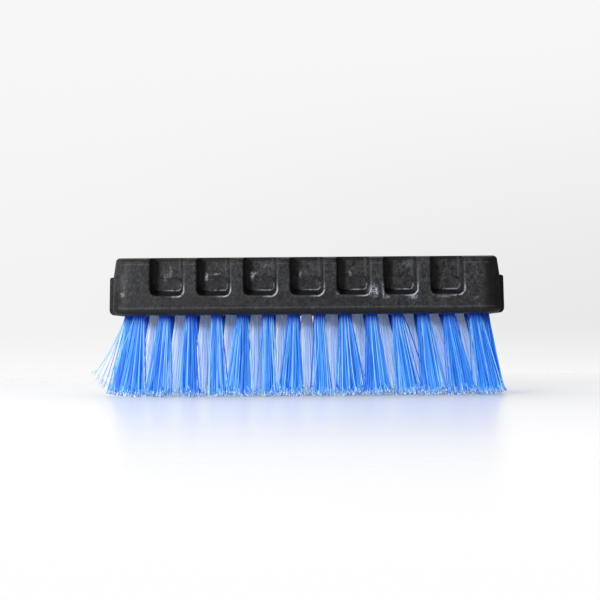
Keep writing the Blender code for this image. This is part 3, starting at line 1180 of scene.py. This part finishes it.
    def recess_centers(self) -> list:
        """The finger recesses' places.

        Returns:
            Pairs of (x, side), where side is -1 at the front and 1 at the back.
        """
        first = -self.recess_pitch * (self.recess_count - 1) / 2
        centers = [first + self.recess_pitch * index for index in range(self.recess_count)]
        return [(center, side) for side in (-1, 1) for center in centers]

    def _side_ring(self, outline: list, depth: float, side: int) -> list:
        """Sets an outline in X and level at a depth behind the leaning side face.

        Args:
            outline: Points as (x, level).
            depth: Distance behind the side face.
            side: -1 for the front, 1 for the back.

        Returns:
            The points in space.
        """
        return [(u, side * (self.body_side(level) - depth), self.underside + level) for u, level in outline]

    def _recess_cutters(self) -> bpy.types.Object:
        """Cutters for all finger recesses, flared at the mouth and filleted at the back wall.

        Returns:
            The cutters as one object.
        """
        stations = [(-self.overrun, self.recess_lip)]
        for rise, inset in rounding(self.recess_lip, self.edge_steps):
            stations.append((inset, self.recess_lip - rise))
        for rise, inset in rounding(self.recess_fillet, self.edge_steps):
            stations.append((self.recess_depth - self.recess_fillet + rise, -inset))
        shape = bmesh.new()
        for center, side in self.recess_centers():
            rings = []
            for depth, growth in stations:
                half = self.recess_width / 2 + growth
                low = (center - half, self.recess_floor - growth)
                high = (center + half, self.height + self.overrun)
                outline = rounded_rectangle(low, high, self.recess_corner + growth, self.edge_steps)
                rings.append(self._side_ring(outline, depth, side))
            add_loft(shape, rings)
        return object_of("recess_cutters", shape)

    def _recess_pads(self) -> bpy.types.Object:
        """A low pad on the back wall of each recess: sloped above, dished in the middle.

        Returns:
            The pads as one object.
        """
        half = self.recess_width / 2 - self.pad_side_margin
        bottom = self.recess_floor + self.pad_bottom_margin
        top = self.height - self.pad_top_drop
        shape = bmesh.new()
        for center, side in self.recess_centers():
            rings = []
            for depth, inset, upper_inset in self._pad_stations():
                low = (center - half + inset, bottom + inset)
                high = (center + half - inset, top - upper_inset)
                radius = max(self.pad_corner - inset, self.pad_rim)
                outline = rounded_rectangle(low, high, radius, self.edge_steps)
                rings.append(self._side_ring(outline, depth, side))
            add_loft(shape, rings)
        return object_of("recess_pads", shape)

    def _pad_stations(self) -> list:
        """The steps from a pad's root over its rim into its dish.

        Returns:
            Tuples of (depth behind the side face, inset at the sides and below, inset above).
        """
        face = self.recess_depth - self.pad_rise
        stations = [(self.recess_depth + self.pad_sink, 0.0, 0.0), (self.recess_depth, 0.0, 0.0)]
        for rise, inset in rounding(self.pad_rim, self.edge_steps):
            stations.append((face + self.pad_rim - rise, inset, self.pad_top_slope + inset))
        for step in range(1, self.edge_steps + 1):
            share = step / self.edge_steps
            inset = self.pad_rim + self.pad_dish_slope * share
            sink = self.pad_dish * math.sin(share * math.pi / 2)
            stations.append((face + sink, inset, self.pad_top_slope + inset))
        return stations

    def _tuft_holes(self, places: list) -> bpy.types.Object:
        """Cutters for the blind tuft holes.

        Args:
            places: Where the tufts stand, as TuftPlace values.

        Returns:
            The cutters as one object.
        """
        angles = [2 * math.pi * corner / self.hole_sides for corner in range(self.hole_sides)]
        radius = self.hole_diameter / 2
        shape = bmesh.new()
        for place in places:
            outline = [(place.x + radius * math.cos(a), place.y + radius * math.sin(a)) for a in angles]
            heights = (self.underside - self.overrun, self.underside + self.hole_depth)
            add_loft(shape, [[(u, v, height) for u, v in outline] for height in heights])
        return object_of("tuft_holes", shape)

    def build(self, places: list, material: bpy.types.Material) -> bpy.types.Object:
        """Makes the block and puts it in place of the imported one.

        Args:
            places: Where the tufts stand, as TuftPlace values.
            material: The block's finish.

        Returns:
            The block.
        """
        block = self._body()
        combine(block, self._recess_cutters(), Change.CUT)
        combine(block, self._recess_pads(), Change.JOIN)
        combine(block, self._tuft_holes(places), Change.CUT)
        block.data.shade_smooth()
        block.data.set_sharp_from_angle(angle=self.smooth_angle)
        block.modifiers.new("even_shading", "WEIGHTED_NORMAL").keep_sharp = True
        block.data.materials.clear()
        block.data.materials.append(material)
        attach(block, ROOT_BODY)
        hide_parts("block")
        return block


@dataclass(frozen=True)
class TuftPlace:
    """One tuft's place: its row, its number in the row and where its hole's middle is."""

    row: Row
    number: int
    x: float
    y: float
    slot: Slot

    @property
    def node(self) -> str:
        """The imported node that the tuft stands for."""
        return f"tuft_{self.row.value}_{self.number:02d}"


@dataclass(frozen=True)
class Splay:
    """How a tuft spreads: how far its tips lean along the row, and how wide they fan out."""

    lean: float
    fan: float


@dataclass(frozen=True)
class WildStrand:
    """A filament that has been bent out of its tuft."""

    row: Row
    number: int
    reach: float
    curve: float
    tone: float
    inward: float = 0.0
    slimness: float = 1.0
    length: float = 1.0

    def belongs(self, place: TuftPlace) -> bool:
        """Whether the filament stands in the tuft at that place."""
        return (self.row, self.number) == (place.row, place.number)


@dataclass(frozen=True)
class Strand:
    """A filament or one of its split ends: its middle line and how it is drawn."""

    points: tuple
    runs: tuple
    radius: float
    tone: float

    def cut(self, run: float) -> Vector:
        """The point of the last piece at a share of the whole length."""
        before = self.runs[-2]
        return self.points[-2].lerp(self.points[-1], (run - before) / (1 - before))


@dataclass
class BristleField:
    """All tufts: fine filaments packed in each hole, fanning out to the trimmed tips."""

    block: Block
    row_counts: tuple = (14, 15, 15, 14)
    filaments: int = 56
    filament_radius: float = 0.00023
    filament_sides: int = 5
    stations: int = 9
    root_radius: float = 0.0021
    root_depth: float = 0.0030
    clear_filaments: int = 84
    clear_radius: float = 0.00025
    core_strands: int = 16
    core_radius: float = 0.00060
    core_share: float = 0.66
    clear_core_strands: int = 12
    clear_core_share: float = 0.60
    core_run: float = 0.93
    tip_scatter: float = 0.0006
    depth_fan: float = 0.0036
    clear_fan: float = 0.0046
    blue_fan: float = 0.0052
    end_lean: float = 0.0050
    lean_power: float = 2.2
    side_lean: float = 0.0022
    loose_lean: float = 0.0014
    bow: float = 0.0005
    short_most: float = 0.0020
    stray_share: float = 0.05
    stray_reach: float = 0.0040
    split_start: float = 0.90
    split_ends: int = 2
    split_scatter: float = 0.00075
    split_slimness: tuple = (0.45, 0.85)
    split_sides: int = 3
    smooth_angle: float = math.radians(75.0)
    end_margin: float = 0.0002
    curve_range: tuple = (0.85, 1.35)
    core_curve: float = 1.25
    core_tones: tuple = (0.1, 0.6)
    thickness_range: tuple = (0.85, 1.1)
    tone_change: tuple = (-0.2, 0.5)
    wild_root: tuple = (0.9, -0.4)
    short_power: float = 3
    seed: int = 7
    front_splays: tuple = (
        Splay(-0.0034, 0.0062), Splay(-0.0028, 0.0048), Splay(-0.0006, 0.0043), Splay(0.0007, 0.0035),
        Splay(-0.0016, 0.0056), Splay(0.0008, 0.0034), Splay(-0.0010, 0.0049), Splay(0.0007, 0.0038),
        Splay(0.0020, 0.0064), Splay(0.0026, 0.0050), Splay(0.0040, 0.0050), Splay(0.0036, 0.0050),
        Splay(0.0046, 0.0050), Splay(0.0047, 0.0052),
    )
    inner_splays: tuple = (
        Splay(-0.0044, 0.0046), Splay(-0.0030, 0.0036), Splay(-0.0028, 0.0034), Splay(-0.0012, 0.0034),
        Splay(-0.0016, 0.0034), Splay(0.0002, 0.0034), Splay(-0.0003, 0.0032), Splay(0.0004, 0.0033),
        Splay(0.0012, 0.0034), Splay(0.0028, 0.0034), Splay(0.0046, 0.0034), Splay(0.0040, 0.0034),
        Splay(0.0065, 0.0036), Splay(0.0053, 0.0036), Splay(0.0037, 0.0040),
    )
    wild_strands: tuple = (
        WildStrand(Row.INNER_FRONT, 1, -0.0150, 1.20, 1.8, slimness=0.5, length=0.86),
        WildStrand(Row.INNER_FRONT, 1, -0.0147, 1.35, 1.8, slimness=0.5, length=0.88),
        WildStrand(Row.INNER_FRONT, 1, -0.0138, 1.15, 1.8, slimness=0.5, length=0.90),
        WildStrand(Row.INNER_FRONT, 1, -0.0129, 1.25, 1.6, slimness=0.5, length=0.95),
        WildStrand(Row.INNER_FRONT, 1, -0.0118, 1.10, 1.5, slimness=0.6, length=0.97),
        WildStrand(Row.INNER_FRONT, 1, -0.0106, 1.00, -0.2, slimness=0.5),
        WildStrand(Row.FRONT, 1, -0.0140, 1.30, 1.4, slimness=0.6, length=0.97),
        WildStrand(Row.FRONT, 11, 0.0120, 0.85, -0.4, inward=0.0030),
        WildStrand(Row.FRONT, 13, 0.0072, 0.60, -0.3, inward=0.0020),
        WildStrand(Row.FRONT, 14, 0.0086, 1.70, 0.9, slimness=0.7),
        WildStrand(Row.FRONT, 7, -0.0060, 1.80, 0.9),
    )

    @property
    def pitch(self) -> float:
        """Distance between tufts along a row."""
        return 2 * self.block.last_tuft_x / (max(self.row_counts) - 1)

    def places(self) -> list:
        """The tufts' places.

        Returns:
            TuftPlace values, row by row from the front and from -X to +X.
        """
        row_pitch = 2 * self.block.last_row_y / (len(self.row_counts) - 1)
        found = []
        for index, (row, count) in enumerate(zip(Row, self.row_counts)):
            for number in range(1, count + 1):
                x = (number - (count + 1) / 2) * self.pitch
                y = index * row_pitch - self.block.last_row_y
                outer = row in (Row.FRONT, Row.BACK) or number in (1, count)
                found.append(TuftPlace(row, number, x, y, Slot.BLUE if outer else Slot.CLEAR))
        return found

    def _splay(self, place: TuftPlace, chance: random.Random) -> Splay:
        """How a tuft spreads: as in the photograph in the two rows that it shows.

        Args:
            place: The tuft's place.
            chance: The tuft's own random numbers.

        Returns:
            The tuft's splay.
        """
        if place.row is Row.FRONT:
            return self.front_splays[place.number - 1]
        if place.row is Row.INNER_FRONT:
            return self.inner_splays[place.number - 1]
        reach = abs(place.x) / self.block.last_tuft_x
        lean = math.copysign(self.end_lean * reach**self.lean_power, place.x)
        fan = self.blue_fan if place.slot is Slot.BLUE else self.clear_fan
        return Splay(lean + chance.gauss(0, self.loose_lean), fan)

    def _strands(self, place: TuftPlace, chance: random.Random) -> list:
        """A tuft's filaments and their split ends.

        Args:
            place: The tuft's place.
            chance: The tuft's own random numbers.

        Returns:
            Strand values.
        """
        splay = self._splay(place, chance)
        outward_lean = math.copysign(self.side_lean, place.y) * abs(place.y) / self.block.last_row_y
        lean = Vector((splay.lean, outward_lean))
        depth_fan = min(self.depth_fan, splay.fan)
        count = self.clear_filaments if place.slot is Slot.CLEAR else self.filaments
        strands = []
        for outward in self._spread(count, 1.0):
            aim = Vector((outward.x * splay.fan, outward.y * depth_fan)) + lean
            aim += Vector((chance.gauss(0, self.tip_scatter), chance.gauss(0, self.tip_scatter)))
            if chance.random() < self.stray_share:
                turn = chance.uniform(0, 2 * math.pi)
                aim += Vector((math.cos(turn), math.sin(turn))) * self.stray_reach * chance.random()
            curve = chance.uniform(*self.curve_range)
            tone = chance.random()
            strands.append(self._filament(place, outward * self.root_radius, aim, curve, tone, chance))
        beside, before = self.wild_root
        for wild in self.wild_strands:
            if wild.belongs(place):
                root_x = math.copysign(self.root_radius, wild.reach) * beside
                root = Vector((root_x, self.root_radius * before))
                aim = Vector((wild.reach, lean.y + wild.inward))
                strand = self._filament(place, root, aim, wild.curve, wild.tone, chance, wild.length)
                strands.append(replace(strand, radius=strand.radius * wild.slimness))
        ends = [end for strand in strands for end in self._ends(strand, chance)]
        return strands + ends + self._core(place, splay, lean, chance)

    @staticmethod
    def _spread(count: int, reach: float) -> list:
        """Spots spread evenly over a round bundle of radius 1.

        Args:
            count: How many there are.
            reach: Share of the radius that they reach.

        Returns:
            Their places from the bundle's middle.
        """
        spots = []
        for index in range(count):
            share = math.sqrt((index + 0.5) / count) * reach
            angle = index * GOLDEN_ANGLE
            spots.append(Vector((math.cos(angle), math.sin(angle))) * share)
        return spots

    def _core(self, place: TuftPlace, splay: Splay, lean: Vector, chance: random.Random) -> list:
        """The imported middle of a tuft, where filaments lie so close that they read as thick strands.

        Args:
            place: The tuft's place.
            splay: How the tuft spreads.
            lean: How far its tips lean, along and across.
            chance: The tuft's own random numbers.

        Returns:
            Strand values, which stop short of the tips.
        """
        depth_fan = min(self.depth_fan, splay.fan)
        strands = []
        is_clear = place.slot is Slot.CLEAR
        count = self.clear_core_strands if is_clear else self.core_strands
        reach = self.clear_core_share if is_clear else self.core_share
        for outward in self._spread(count, reach):
            aim = Vector((outward.x * splay.fan, outward.y * depth_fan)) + lean
            tone = chance.uniform(*self.core_tones)
            whole = self._filament(place, outward * self.root_radius, aim, self.core_curve, tone, chance)
            points = (*whole.points[:-1], whole.cut(self.core_run))
            runs = (*whole.runs[:-1], self.core_run)
            strands.append(Strand(points, runs, self.core_radius, tone))
        return strands

    def _filament(
        self,
        place: TuftPlace,
        root: Vector,
        aim: Vector,
        curve: float,
        tone: float,
        chance: random.Random,
        length: float = 1.0,
    ) -> Strand:
        """One filament, of the same length as its trimmed neighbours.

        Args:
            place: The tuft's place.
            root: Where it leaves the hole, from the hole's middle.
            aim: Where its tip goes, from the hole's middle.
            curve: How late it turns aside: 1 is straight, more is later.
            tone: How light it is, from 0 to 1 or more.
            chance: The tuft's own random numbers.
            length: Its length as a share of the trim.

        Returns:
            The filament, from inside the hole to the tip.
        """
        trim = self.block.underside
        limit = CAD_BOX[1] - Vector((1, 1, 0)) * (self.filament_radius + self.end_margin)
        tip_x = max(-limit.x, min(limit.x, place.x + aim.x))
        tip_y = max(-limit.y, min(limit.y, place.y + aim.y))
        start = Vector((place.x + root.x, place.y + root.y, trim))
        run = Vector((tip_x - start.x, tip_y - start.y, 0))
        fall = math.sqrt(max((trim * length) ** 2 - run.length_squared, (trim / 2) ** 2))
        fall -= self.short_most * chance.random() ** self.short_power
        bow = Vector((chance.gauss(0, self.bow), chance.gauss(0, self.bow), 0))
        points = [start + Vector((0, 0, self.root_depth))]
        runs = [0.0]
        for station in range(self.stations):
            share = station / (self.stations - 1)
            side = run * share**curve + bow * math.sin(math.pi * share) * share
            points.append(start + side - Vector((0, 0, fall * share)))
            runs.append(share)
        radius = self.clear_radius if place.slot is Slot.CLEAR else self.filament_radius
        return Strand(tuple(points), tuple(runs), radius * chance.uniform(*self.thickness_range), tone)

    def _ends(self, strand: Strand, chance: random.Random) -> list:
        """The fine ends that a worn filament's tip splits into.

        Args:
            strand: The filament.
            chance: The tuft's own random numbers.

        Returns:
            Strand values.
        """
        root = strand.cut(self.split_start)
        tip = strand.points[-1]
        runs = (self.split_start, (self.split_start + 1) / 2, 1.0)
        ends = []
        for _ in range(self.split_ends):
            aside = Vector((chance.gauss(0, self.split_scatter), chance.gauss(0, self.split_scatter), 0))
            end = tip + aside + Vector((0, 0, abs(chance.gauss(0, self.split_scatter))))
            middle = (root + end) / 2 + aside / 4
            radius = strand.radius * chance.uniform(*self.split_slimness)
            tone = strand.tone + chance.uniform(*self.tone_change)
            ends.append(Strand((root, middle, end), runs, radius, tone))
        return ends

    def _tube(self, strand: Strand, sides: int, turn: float) -> tuple:
        """A thin closed tube along a strand.

        Args:
            strand: The strand.
            sides: Corners of the tube's section.
            turn: Angle of the section's first corner.

        Returns:
            Its vertices and its faces.
        """
        limit = CAD_BOX[1]
        vertices = []
        for index, point in enumerate(strand.points):
            following = strand.points[min(index + 1, len(strand.points) - 1)]
            along = following - strand.points[max(index - 1, 0)]
            side = along.cross(Vector((0, 1, 0))).normalized()
            other = along.cross(side).normalized()
            for corner in range(sides):
                angle = turn + 2 * math.pi * corner / sides
                vertex = point + strand.radius * (math.cos(angle) * side + math.sin(angle) * other)
                x = max(-limit.x, min(limit.x, vertex.x))
                y = max(-limit.y, min(limit.y, vertex.y))
                vertices.append((x, y, max(vertex.z, 0.0)))
        faces = []
        for index in range(len(strand.points) - 1):
            for corner in range(sides):
                low = index * sides + corner
                following = index * sides + (corner + 1) % sides
                faces.append((low, following, following + sides, low + sides))
        last = (len(strand.points) - 1) * sides
        faces.append(tuple(range(sides))[::-1])
        faces.append(tuple(range(last, last + sides)))
        return vertices, faces

    def tuft(self, place: TuftPlace, material: bpy.types.Material) -> bpy.types.Object:
        """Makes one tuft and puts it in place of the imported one.

        Args:
            place: The tuft's place.
            material: Its filaments' finish.

        Returns:
            The tuft.
        """
        chance = random.Random(f"{self.seed} {place.node}")
        vertices = []
        faces = []
        runs = []
        tones = []
        for strand in self._strands(place, chance):
            is_whole = len(strand.points) > self.stations
            sides = self.filament_sides if is_whole else self.split_sides
            tube_vertices, tube_faces = self._tube(strand, sides, chance.uniform(0, 2 * math.pi))
            base = len(vertices)
            vertices += tube_vertices
            faces += [tuple(base + corner for corner in face) for face in tube_faces]
            runs += [run for run in strand.runs for _ in range(sides)]
            tones += [strand.tone] * len(tube_vertices)
        mesh = bpy.data.meshes.new(f"filaments_{place.row.value}_{place.number:02d}")
        mesh.from_pydata(vertices, [], faces)
        mesh.validate()
        mesh.attributes.new("run", "FLOAT", "POINT").data.foreach_set("value", runs)
        mesh.attributes.new("tone", "FLOAT", "POINT").data.foreach_set("value", tones)
        mesh.shade_smooth()
        mesh.set_sharp_from_angle(angle=self.smooth_angle)
        mesh.materials.append(material)
        tuft = bpy.data.objects.new(mesh.name, mesh)
        bpy.context.scene.collection.objects.link(tuft)
        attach(tuft, ROOT_BODY)
        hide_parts(place.node)
        return tuft


@dataclass(frozen=True)
class Lamp:
    """A square soft white lamp that faces a point."""

    name: str
    place: tuple
    size: float
    power: float
    target: tuple = (0.0, 0.0, 0.035)

    def build(self) -> bpy.types.Object:
        """Makes the lamp.

        Returns:
            The lamp's object.
        """
        data = bpy.data.lights.new(self.name, "AREA")
        data.size = self.size
        data.energy = self.power
        lamp = bpy.data.objects.new(self.name, data)
        lamp.location = self.place
        aim = Vector(self.target) - Vector(self.place)
        lamp.rotation_euler = aim.to_track_quat("-Z", "Y").to_euler()
        bpy.context.scene.collection.objects.link(lamp)
        return lamp


@dataclass
class Studio:
    """Plain white floor and backdrop, soft lamps and the camera of the photograph."""

    image_pixels: float = 600.0
    focal_pixels: float = 1105.0
    camera_place: tuple = (0.0, -0.4414, 0.0225)
    look_x_pixel: float = 306.6
    horizon_pixel: float = 337.5
    roll: float = math.radians(-0.42)
    sensor_width: float = 36.0
    clip_range: tuple = (0.01, 50.0)
    clear_layers: int = 64
    floor_reach: float = 3.0
    floor_sides: int = 96
    floor_color: tuple = (0.955, 0.955, 0.955)
    floor_roughness: float = 0.27
    floor_specular: float = 0.22
    backdrop_left: tuple = (0.895, 0.895, 0.895)
    backdrop_right: tuple = (0.815, 0.815, 0.815)
    backdrop_high: tuple = (0.93, 0.93, 0.93)
    backdrop_low: tuple = (0.995, 0.995, 0.995)
    backdrop_span: float = 0.28
    backdrop_drop: tuple = (0.015, -0.060)
    window_side: tuple = (-0.86, -0.46, 0.22)
    window_color: tuple = (1.12, 1.13, 1.17)
    room_color: tuple = (0.18, 0.18, 0.20)
    dim_share: float = 0.10
    fade_from: float = 0.11
    fade_to: float = 0.34
    key: Lamp = Lamp("key", (-0.37, -0.50, 0.15), 0.11, 2.85)
    top_fill: Lamp = Lamp("top_fill", (0.0, 0.05, 0.90), 0.9, 1.45)

    def camera(self) -> bpy.types.Object:
        """Makes the camera and sets it as the scene's own.

        Returns:
            The camera's object.
        """
        data = bpy.data.cameras.new("photo_camera")
        data.sensor_width = self.sensor_width
        data.lens = self.sensor_width * self.focal_pixels / self.image_pixels
        data.clip_start, data.clip_end = self.clip_range
        camera = bpy.data.objects.new("photo_camera", data)
        middle = self.image_pixels / 2
        pitch = math.atan((self.horizon_pixel - middle) / self.focal_pixels)
        yaw = math.atan((self.look_x_pixel - middle) / self.focal_pixels)
        camera.location = self.camera_place
        camera.rotation_mode = "QUATERNION"
        upright = Quaternion((1, 0, 0), math.pi / 2 + pitch)
        camera.rotation_quaternion = Quaternion((0, 0, 1), yaw) @ upright @ Quaternion((0, 0, 1), self.roll)
        bpy.context.scene.collection.objects.link(camera)
        bpy.context.scene.camera = camera
        return camera

    def world(self) -> bpy.types.World:
        """Makes the room's soft light and the backdrop that camera, glossy and clear rays meet.

        Returns:
            The world.
        """
        world = bpy.data.worlds.new("studio_world")
        world.use_nodes = True
        desk = NodeDesk(world.node_tree)
        toward = desk.add("ShaderNodeTexCoord").outputs["Generated"]
        x, y, z = desk.split(toward)
        sides = {0: toward, 1: self.window_side}
        facing = desk.add("ShaderNodeVectorMath", sides, operation="DOT_PRODUCT").outputs["Value"]
        room = desk.tree.nodes["Background"]
        room_light = desk.blend(desk.ramp(facing, -1.0, 1.0), self.room_color, self.window_color)
        desk.feed(room.inputs["Color"], room_light)
        across = desk.ramp(x, -self.backdrop_span, self.backdrop_span)
        color = desk.blend(across, self.backdrop_left, self.backdrop_right)
        color = desk.blend(desk.ramp(z, 0.0, self.backdrop_span), color, self.backdrop_high)
        color = desk.blend(desk.ramp(z, *self.backdrop_drop), color, self.backdrop_low)
        rays = desk.add("ShaderNodeLightPath").outputs
        behind = desk.ramp(y, self.backdrop_span, -self.backdrop_span)
        right = desk.ramp(x, self.backdrop_span, 2 * self.backdrop_span)
        unlit = desk.product(desk.math("MAXIMUM", behind, right), rays["Is Glossy Ray"])
        strength = desk.ramp(unlit, 0.0, 1.0, 1.0, self.dim_share)
        backdrop = desk.add("ShaderNodeBackground", {"Color": color, "Strength": strength})
        seen = desk.math("MAXIMUM", rays["Is Camera Ray"], rays["Is Glossy Ray"])
        seen = desk.math("MAXIMUM", seen, rays["Is Transmission Ray"])
        desk.surface("World Output", desk.mix_shaders(seen, room, backdrop))
        bpy.context.scene.world = world
        return world

    def floor(self) -> bpy.types.Object:
        """Makes the white floor, which fades into the backdrop far behind the brush.

        Returns:
            The floor's object.
        """
        shape = bmesh.new()
        bmesh.ops.create_circle(shape, cap_ends=True, segments=self.floor_sides, radius=self.floor_reach)
        floor = object_of("studio_floor", shape)
        material, desk, shader = start_material("white_table")
        desk.feed(shader.inputs["Base Color"], self.floor_color)
        desk.feed(shader.inputs["Roughness"], self.floor_roughness)
        desk.feed(shader.inputs["Specular IOR Level"], self.floor_specular)
        far = desk.length(desk.add("ShaderNodeTexCoord").outputs["Object"])
        fade = desk.ramp(far, self.fade_from, self.fade_to)
        clear = desk.add("ShaderNodeBsdfTransparent")
        desk.surface("Material Output", desk.mix_shaders(fade, shader, clear))
        floor.data.materials.append(material)
        return floor

    def lamps(self) -> list:
        """Makes the key lamp at the front left and the soft fill from above."""
        return [lamp.build() for lamp in (self.key, self.top_fill)]


def main() -> None:
    """Builds the brush and its studio, and reports each piece."""
    logging.basicConfig(level=logging.INFO, format="%(message)s")
    bpy.context.scene.view_settings.view_transform = "Standard"
    bpy.context.scene.cycles.transparent_max_bounces = Studio.clear_layers
    effects = EffectLibrary()
    block = Block()
    field_of_tufts = BristleField(block)
    places = field_of_tufts.places()
    plastic = BlockFinish().build(effects, block, PALE_MARKS)
    LOG.info("block: %s", block.build(places, plastic).name)
    materials = {finish.slot: finish.build(effects) for finish in (BLUE_FILAMENT, CLEAR_FILAMENT)}
    for place in places:
        LOG.info("tuft: %s", field_of_tufts.tuft(place, materials[place.slot]).name)
    studio = Studio()
    studio.floor()
    studio.world()
    for lamp in studio.lamps():
        LOG.info("lamp: %s", lamp.name)
    LOG.info("camera: %s", studio.camera().name)


if __name__ == "__main__":
    main()
